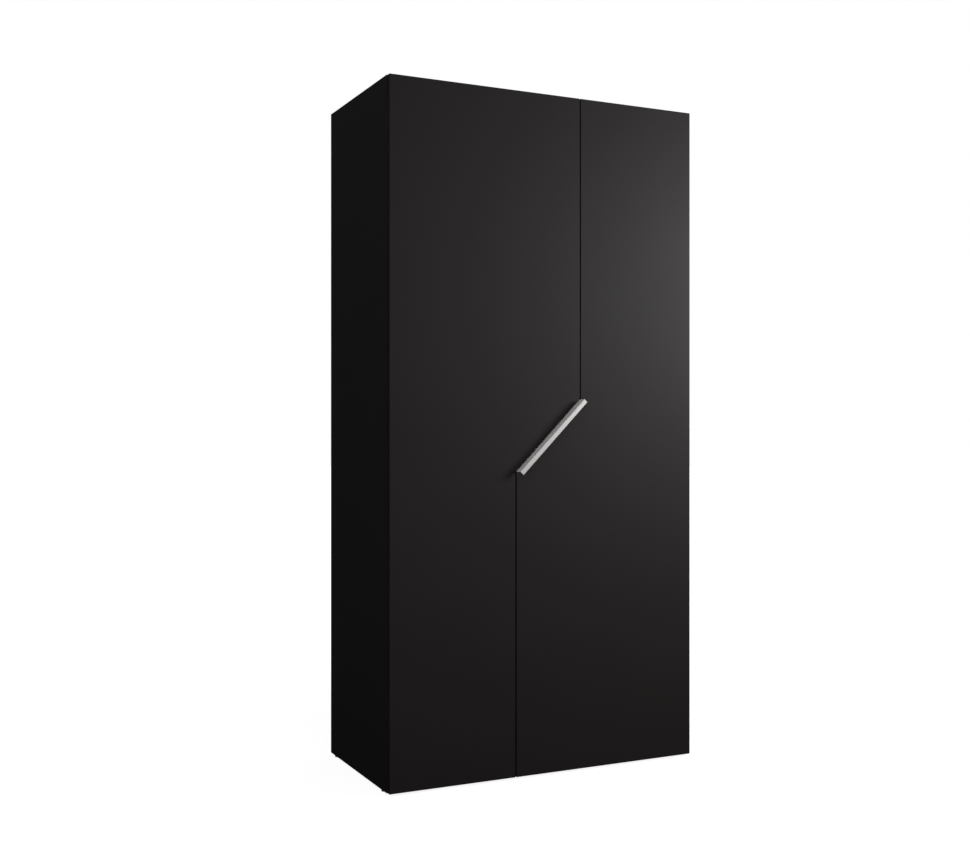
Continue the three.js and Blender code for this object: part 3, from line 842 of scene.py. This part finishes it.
for node, body, origin, axes in hinge_places("cup"):
    low, high = local_box(node, origin, axes)
    radius = (high[0] - low[0]) / 2
    centre = (low[0] + high[0]) / 2
    floor, rim = low[1], high[1]
    inside = radius - CUP_WALL
    t = np.linspace(0, np.pi / 2, 6)
    outer = zip(radius - CUP_ROUND * (1 - np.sin(t)), floor + CUP_ROUND * (1 - np.cos(t)))
    inner_round = CUP_ROUND - CUP_WALL
    inner = zip(
        inside - inner_round * (1 - np.sin(t[::-1])),
        floor + CUP_WALL + inner_round * (1 - np.cos(t[::-1])),
    )
    bowl = revolved([*outer, (radius, rim - EAR_WALL), (inside, rim - EAR_WALL), *inner], 48)
    bowl = bowl.placed((centre, 0, 0), (-X, Z, Y))
    plate = eared_ring(radius, EAR_HALF, high[2])
    eased = plate * (1 - EAR_EASE / np.linalg.norm(plate, axis=1, keepdims=True))
    mouth = circle((0, 0), inside, EAR_POINTS)
    stations = [(mouth, rim - EAR_WALL), (plate, rim - EAR_WALL), (plate, rim - EAR_EASE)]
    stations += [(eased, rim), (mouth * 1.01, rim), (mouth, rim - EAR_EASE)]
    flange = lofted([level(s, h) for s, h in stations], wrap=True)
    flange = flange.placed((centre, 0, 0), (-X, Z, Y))
    t = np.linspace(0, np.pi, 13)
    cheek = CHEEK_HALF * np.stack([np.cos(t), np.sin(t)], axis=1)
    near = centre - math.sqrt(inside**2 - CHEEK_OUT**2) - CUP_WALL / 2
    cheek = np.concatenate([np.maximum(cheek, (near, -1)), [(near, floor + CUP_WALL / 2)]])
    cheek = np.append(cheek, [(CHEEK_HALF, floor + CUP_WALL / 2)], axis=0)
    cheek = cheek[np.append(True, np.linalg.norm(np.diff(cheek, axis=0), axis=1) > 1e-6)]
    sides = [
        lofted([level(cheek, a), level(cheek, b)])
        for a, b in ((CHEEK_IN, CHEEK_OUT), (-CHEEK_OUT, -CHEEK_IN))
    ]
    screws = [
        facing(screw_head(CUP_SCREW_RADIUS), (centre, rim, z), Y, X).finished(1)
        for z in (-CUP_SCREW_AT, CUP_SCREW_AT)
    ]
    cup = joined([bowl, flange, *sides, *screws]).placed(origin, axes)
    add_piece(f"{node}_pressing", cup, [nickel, zinc], body, [node], 35)


# ---------------------------------------------------------------------------------------------
# Hinge pins. A short steel rod through the cheeks of each cup and the rolled end of its arm,
# domed where it is peened over.

PIN_DOME = 0.0004

for node, body, origin, axes in hinge_places("pin"):
    low, high = local_box(node, origin, axes)
    radius, half = high[0], high[2]
    t = np.linspace(0.05, np.pi / 2, 5)
    end = np.stack([radius * np.sin(t), PIN_DOME * (1 - np.cos(t))], axis=1)
    profile = [*(end * (1, 1) + (0, -half)), *(end[::-1] * (1, -1) + (0, half))]
    rod = revolved(profile, 24).placed(origin, axes)
    add_piece(f"{node}_rod", rod, [zinc], body, [node], 40)


# ---------------------------------------------------------------------------------------------
# Hinge arms. A strip rolled round the pin at one end, bent out of the cup like a goose's neck,
# then widened into a channel over the mounting plate. It carries two adjusting screws.

ARM_WALL = 0.002
ARM_HALF = 0.005
ARM_BEND = 0.004
ARM_ROUND = 0.0008
KNUCKLE_RADIUS = 0.0025
KNUCKLE_BORE = 0.00155
CHANNEL_WALL = 0.0012
WIDEN_OVER = 0.005
ARM_SCREW_RADIUS = 0.0034
ARM_SCREW_RISE = 0.0006
ARM_SCREWS_FROM_END = (0.013, 0.029)
SLOT_REACH = 0.0062
SLOT_HALF = 0.0042
SLOT_RISE = 0.0005
SLOT_EASE = 0.0004
ARM_EASE = 0.0004
KNUCKLE_EASE = 0.0003
FLANGE_PLAY = 0.0003
WIDE_BEFORE_PLATE = 0.006
PLATE_WALL = 0.0016


def channel_section(half, drop, wall, web):
    """A strip's section, as (across, out): width 2 half and thickness web, its outer edges
    rounded, with a flange of the wall's thickness dropping below each edge by drop."""
    t = np.linspace(0, np.pi / 2, 5)
    corner = np.stack([half - ARM_ROUND * (1 - np.cos(t)), -ARM_ROUND * (1 - np.sin(t))], axis=1)
    right = np.concatenate([[(half, -web - drop)], corner])
    left = right[::-1] * (-1, 1)
    inner = np.array([(wall - half, -web - drop), (wall - half, -web)])
    return np.concatenate([right, left, inner, inner[::-1] * (-1, 1)])


for node, body, origin, axes in hinge_places("arm"):
    low, high = local_box(node, origin, axes)
    far, end = high[0], high[1]
    near = far - ARM_WALL
    channel_half = high[2]
    plate_low = local_box(node.replace("arm", "plate"), origin, axes)[0]
    drop = near - (plate_low[0] + PLATE_WALL + FLANGE_PLAY)
    widen_end = plate_low[1] - WIDE_BEFORE_PLATE
    bend_centre = near + ARM_WALL / 2 - ARM_BEND
    t = np.linspace(0, np.pi / 2, 9)
    radius = ARM_BEND + ARM_WALL / 2
    path = [(KNUCKLE_BORE, -ARM_WALL / 2, 0.0)]
    path += [
        (bend_centre + radius * math.sin(a), ARM_BEND - radius * math.cos(a), a) for a in t
    ]
    straight = np.append(np.linspace(widen_end - WIDEN_OVER, widen_end, 7), (end - ARM_EASE, end))
    path += [(far, y, np.pi / 2) for y in straight]
    rings = []
    for x, y, turn in path:
        share = np.clip((y - (widen_end - WIDEN_OVER)) / WIDEN_OVER, 0, 1)
        share = share * share * (3 - 2 * share)
        half = ARM_HALF + (channel_half - ARM_HALF) * share - (ARM_EASE if y == end else 0)
        section = channel_section(half, drop * share, CHANNEL_WALL, ARM_WALL)
        out = np.array([math.sin(turn), -math.cos(turn), 0])
        rings.append((x, y, 0) + section[:, :1] * Z + section[:, 1:] * out)
    neck = lofted(rings)
    profile = [(KNUCKLE_BORE, -ARM_HALF), (KNUCKLE_RADIUS - KNUCKLE_EASE, -ARM_HALF)]
    profile.append((KNUCKLE_RADIUS, KNUCKLE_EASE - ARM_HALF))
    profile += [(r, -h) for r, h in profile[::-1]]
    knuckle = revolved(profile, 32, wrap=True)
    screws = []
    for back in ARM_SCREWS_FROM_END:
        place = (far, end - back, 0)
        foot = oval(2 * SLOT_REACH, 2 * SLOT_HALF)
        crown = oval(2 * (SLOT_REACH - SLOT_EASE), 2 * (SLOT_HALF - SLOT_EASE))
        boss = lofted([level(foot, 0), level(crown, SLOT_RISE)])
        screws.append(facing(boss, place, X, Z))
        raised = (far + SLOT_RISE, end - back, 0)
        screws.append(facing(screw_head(ARM_SCREW_RADIUS, ARM_SCREW_RISE), raised, X, Z).finished(1))
    arm = joined([neck, knuckle, *screws]).placed(origin, axes)
    add_piece(f"{node}_strip", arm, [nickel, zinc], "carcass", [node], 35)


# ---------------------------------------------------------------------------------------------
# Mounting plates. A cast rail that the arm straddles, on a base with two wings, each screwed into
# the side panel.

WING_HALF = 0.008
WING_ROUND = 0.005
RAIL_ROUND = 0.0015
PLATE_ARRIS = 0.0003
PLATE_SCREW_AT = 0.016
RAIL_HALF = 0.006

for node, body, origin, axes in hinge_places("plate"):
    low, high = local_box(node, origin, axes)
    middle = (low[1] + high[1]) / 2
    blocks = []
    for back, front, half, corner, top in (
        (middle - WING_HALF, middle + WING_HALF, high[2], WING_ROUND, low[0] + PLATE_WALL),
        (low[1], high[1], RAIL_HALF, RAIL_ROUND, high[0]),
    ):
        outline = rounded([(back, -half), (front, -half), (front, half), (back, half)], corner)
        slim = inset(outline, PLATE_ARRIS)
        stations = ((outline, low[0]), (outline, top - PLATE_ARRIS), (slim, top))
        block = lofted([level(s, h) for s, h in stations])
        blocks.append(block.placed((0, 0, 0), (Y, Z, X)))
    screws = [
        facing(screw_head(CUP_SCREW_RADIUS), (low[0] + PLATE_WALL, middle, z), X, Z).finished(1)
        for z in (-PLATE_SCREW_AT, PLATE_SCREW_AT)
    ]
    plate = joined([*blocks, *screws]).placed(origin, axes)
    add_piece(f"{node}_casting", plate, [nickel, zinc], "carcass", [node], 35)


# ---------------------------------------------------------------------------------------------
# Floor. A pale studio floor that reads as white to the eye, and keeps the wardrobe's shadow only
# where the wardrobe is near.

FLOOR_REACH = 30.0
FLOOR_SHOWS = 0.25
FLOOR_GLOW = 1.18
SHADOW_REACH = 0.8
FADE = 1.5



def fading(finish, full, near, far):
    """A value that is full up to the distance near from the origin and falls smoothly to 0 at the
    distance far."""
    distance = finish.node(
        "ShaderNodeVectorMath", {"operation": "LENGTH"}, {0: finish.place}, "Value"
    )
    return finish.node(
        "ShaderNodeMapRange",
        {"interpolation_type": "SMOOTHSTEP"},
        {0: distance, 1: near, 2: far, 3: full, 4: 0.0},
    )


floor_finish = Finish("pale_floor", base_color=(0.9, 0.9, 0.9), roughness=0.9)
near_object = fading(floor_finish, FLOOR_SHOWS, SHADOW_REACH, SHADOW_REACH + FADE)
eye = floor_finish.node("ShaderNodeLightPath", {}, {}, "Is Camera Ray")
glow = floor_finish.node("ShaderNodeEmission", {}, {"Color": (1, 1, 1), "Strength": FLOOR_GLOW})
share = eye * (1 - near_object)
shader = Wire(floor_finish, floor_finish.shader.outputs[0])
both = floor_finish.node("ShaderNodeMixShader", {}, {0: share, 1: shader, 2: glow})
output = next(node for node in floor_finish.tree.nodes if node.type == "OUTPUT_MATERIAL")
floor_finish.feed(output.inputs["Surface"], both)



def spread_out(name, radius, height, finish):
    """A flat disc of 64 corners round the upright through the origin, at a height."""
    corners = level(circle((0, 0), radius, 64), height)
    mesh = bpy.data.meshes.new(name)
    mesh.from_pydata(corners.tolist(), [], [list(range(len(corners)))])
    mesh.materials.append(finish.material)
    disc = bpy.data.objects.new(name, mesh)
    bpy.context.scene.collection.objects.link(disc)
    return disc


floor = spread_out("floor", FLOOR_REACH, 0.0, floor_finish)
floor.visible_glossy = False
floor.visible_diffuse = False


# ---------------------------------------------------------------------------------------------
# Painted shade disc. A black disc round the base, just under the floor, which the camera and
# shadows pass through but the wardrobe's diffuse and glossy rays stop at, so no light comes up at
# the foot of the wardrobe: painted shade on its foot and in the low reflections on its sides. It
# thins out away from the base.

SHADE_DISC_RADIUS = 2.4
SHADE_DISC_FULL = 0.6
SHADE_DISC_HEIGHT = -0.0005

# Black, fading out away from the base: a sheet of painted shade that only diffuse and glossy rays
# see.
shade_disc_finish = Finish("painted_shade_disc", base_color=(0, 0, 0), roughness=1.0, specular_ior_level=0.0)
shade_disc_finish.look(alpha=fading(shade_disc_finish, 1.0, SHADE_DISC_FULL, SHADE_DISC_RADIUS))
shade_disc = spread_out("painted_shade_disc", SHADE_DISC_RADIUS, SHADE_DISC_HEIGHT, shade_disc_finish)
shade_disc.visible_camera = False
shade_disc.visible_shadow = False


# ---------------------------------------------------------------------------------------------
# Lamp. One softbox to the right of the front, a little above eye level, draws the sheen across the
# doors and throws the grip's shadow to the left.


def softbox(name, azimuth, elevation, distance, size, power):
    """A rectangular lamp aimed at the middle of the doors from azimuth degrees to the right of
    straight ahead of them, at elevation degrees up."""
    turn, lift = math.radians(azimuth), math.radians(elevation)
    way = Vector((math.sin(turn) * math.cos(lift), -math.cos(turn) * math.cos(lift), math.sin(lift)))
    lamp = bpy.data.lights.new(name, "AREA")
    lamp.shape = "RECTANGLE"
    lamp.size, lamp.size_y = size
    lamp.energy = power
    holder = bpy.data.objects.new(name, lamp)
    holder.location = Vector((0, hinged_foot.y, 1.1)) + distance * way
    holder.rotation_euler = way.to_track_quat("Z", "Y").to_euler()
    bpy.context.scene.collection.objects.link(holder)


softbox("key_softbox", 59, 15, 2.2, (0.8, 0.7), 38)


# ---------------------------------------------------------------------------------------------
# Surround. White to the eye and behind glass. Gloss sees a ceiling that darkens to a black-hung
# horizon, and a white screen high at the front left, which also lights matt surfaces softly.

AMBIENT = 0.34
HORIZON = 0.155
FALL = 2.7
SCREEN_WAY = (-0.53, -0.63, 0.57)
SCREEN_EDGE = 0.55
SCREEN_CORE = 0.92
SCREEN_GLOSS = 0.4
SCREEN_SOFT = 1.0

surround = bpy.data.worlds.new("surround")
bpy.context.scene.world = surround
surround.use_nodes = True
nodes, links = surround.node_tree.nodes, surround.node_tree.links
nodes.clear()


def world_node(kind, settings, inputs):
    """Adds a node to the surround. An input that is a socket is linked, any other is set."""
    node = nodes.new(kind)
    for key, value in settings.items():
        setattr(node, key, value)
    for key, value in inputs.items():
        if isinstance(value, bpy.types.NodeSocket):
            links.new(value, node.inputs[key])
        else:
            node.inputs[key].default_value = value
    return node


path = world_node("ShaderNodeLightPath", {}, {})
way = world_node("ShaderNodeTexCoord", {}, {})
height = world_node("ShaderNodeSeparateXYZ", {}, {0: way.outputs["Generated"]})
upward = world_node(
    "ShaderNodeMath", {"operation": "MAXIMUM"}, {0: height.outputs["Z"], 1: HORIZON}
)
ceiling = world_node(
    "ShaderNodeMath", {"operation": "POWER", "use_clamp": True}, {0: upward.outputs[0], 1: FALL}
)
towards = world_node(
    "ShaderNodeVectorMath",
    {"operation": "DOT_PRODUCT"},
    {0: way.outputs["Generated"], 1: SCREEN_WAY},
)
screen = world_node(
    "ShaderNodeMapRange",
    {"interpolation_type": "SMOOTHSTEP"},
    {0: towards.outputs["Value"], 1: SCREEN_EDGE, 2: SCREEN_CORE, 3: 0.0, 4: 1.0},
)
faint = world_node(
    "ShaderNodeMath", {"operation": "MULTIPLY"}, {0: screen.outputs[0], 1: SCREEN_GLOSS}
)
white = world_node(
    "ShaderNodeMath", {"operation": "MAXIMUM"}, {0: ceiling.outputs[0], 1: faint.outputs[0]}
)
gloss = world_node(
    "ShaderNodeMath",
    {"operation": "MULTIPLY"},
    {0: path.outputs["Is Glossy Ray"], 1: white.outputs[0]},
)
seen = world_node(
    "ShaderNodeMath",
    {"operation": "MAXIMUM"},
    {0: path.outputs["Is Camera Ray"], 1: path.outputs["Is Transmission Ray"]},
)
soft = world_node(
    "ShaderNodeMath",
    {"operation": "MULTIPLY_ADD"},
    {0: screen.outputs[0], 1: SCREEN_SOFT, 2: AMBIENT},
)
diffuse = world_node(
    "ShaderNodeMath",
    {"operation": "MULTIPLY"},
    {0: path.outputs["Is Diffuse Ray"], 1: soft.outputs[0]},
)
strength = world_node(
    "ShaderNodeMath", {"operation": "ADD"}, {0: gloss.outputs[0], 1: diffuse.outputs[0]}
)
strength = world_node(
    "ShaderNodeMath", {"operation": "ADD"}, {0: strength.outputs[0], 1: seen.outputs[0]}
)
glow = world_node(
    "ShaderNodeBackground", {}, {"Color": (1, 1, 1, 1), "Strength": strength.outputs[0]}
)
world_node("ShaderNodeOutputWorld", {}, {"Surface": glow.outputs[0]})

bpy.context.scene.view_settings.view_transform = "Standard"
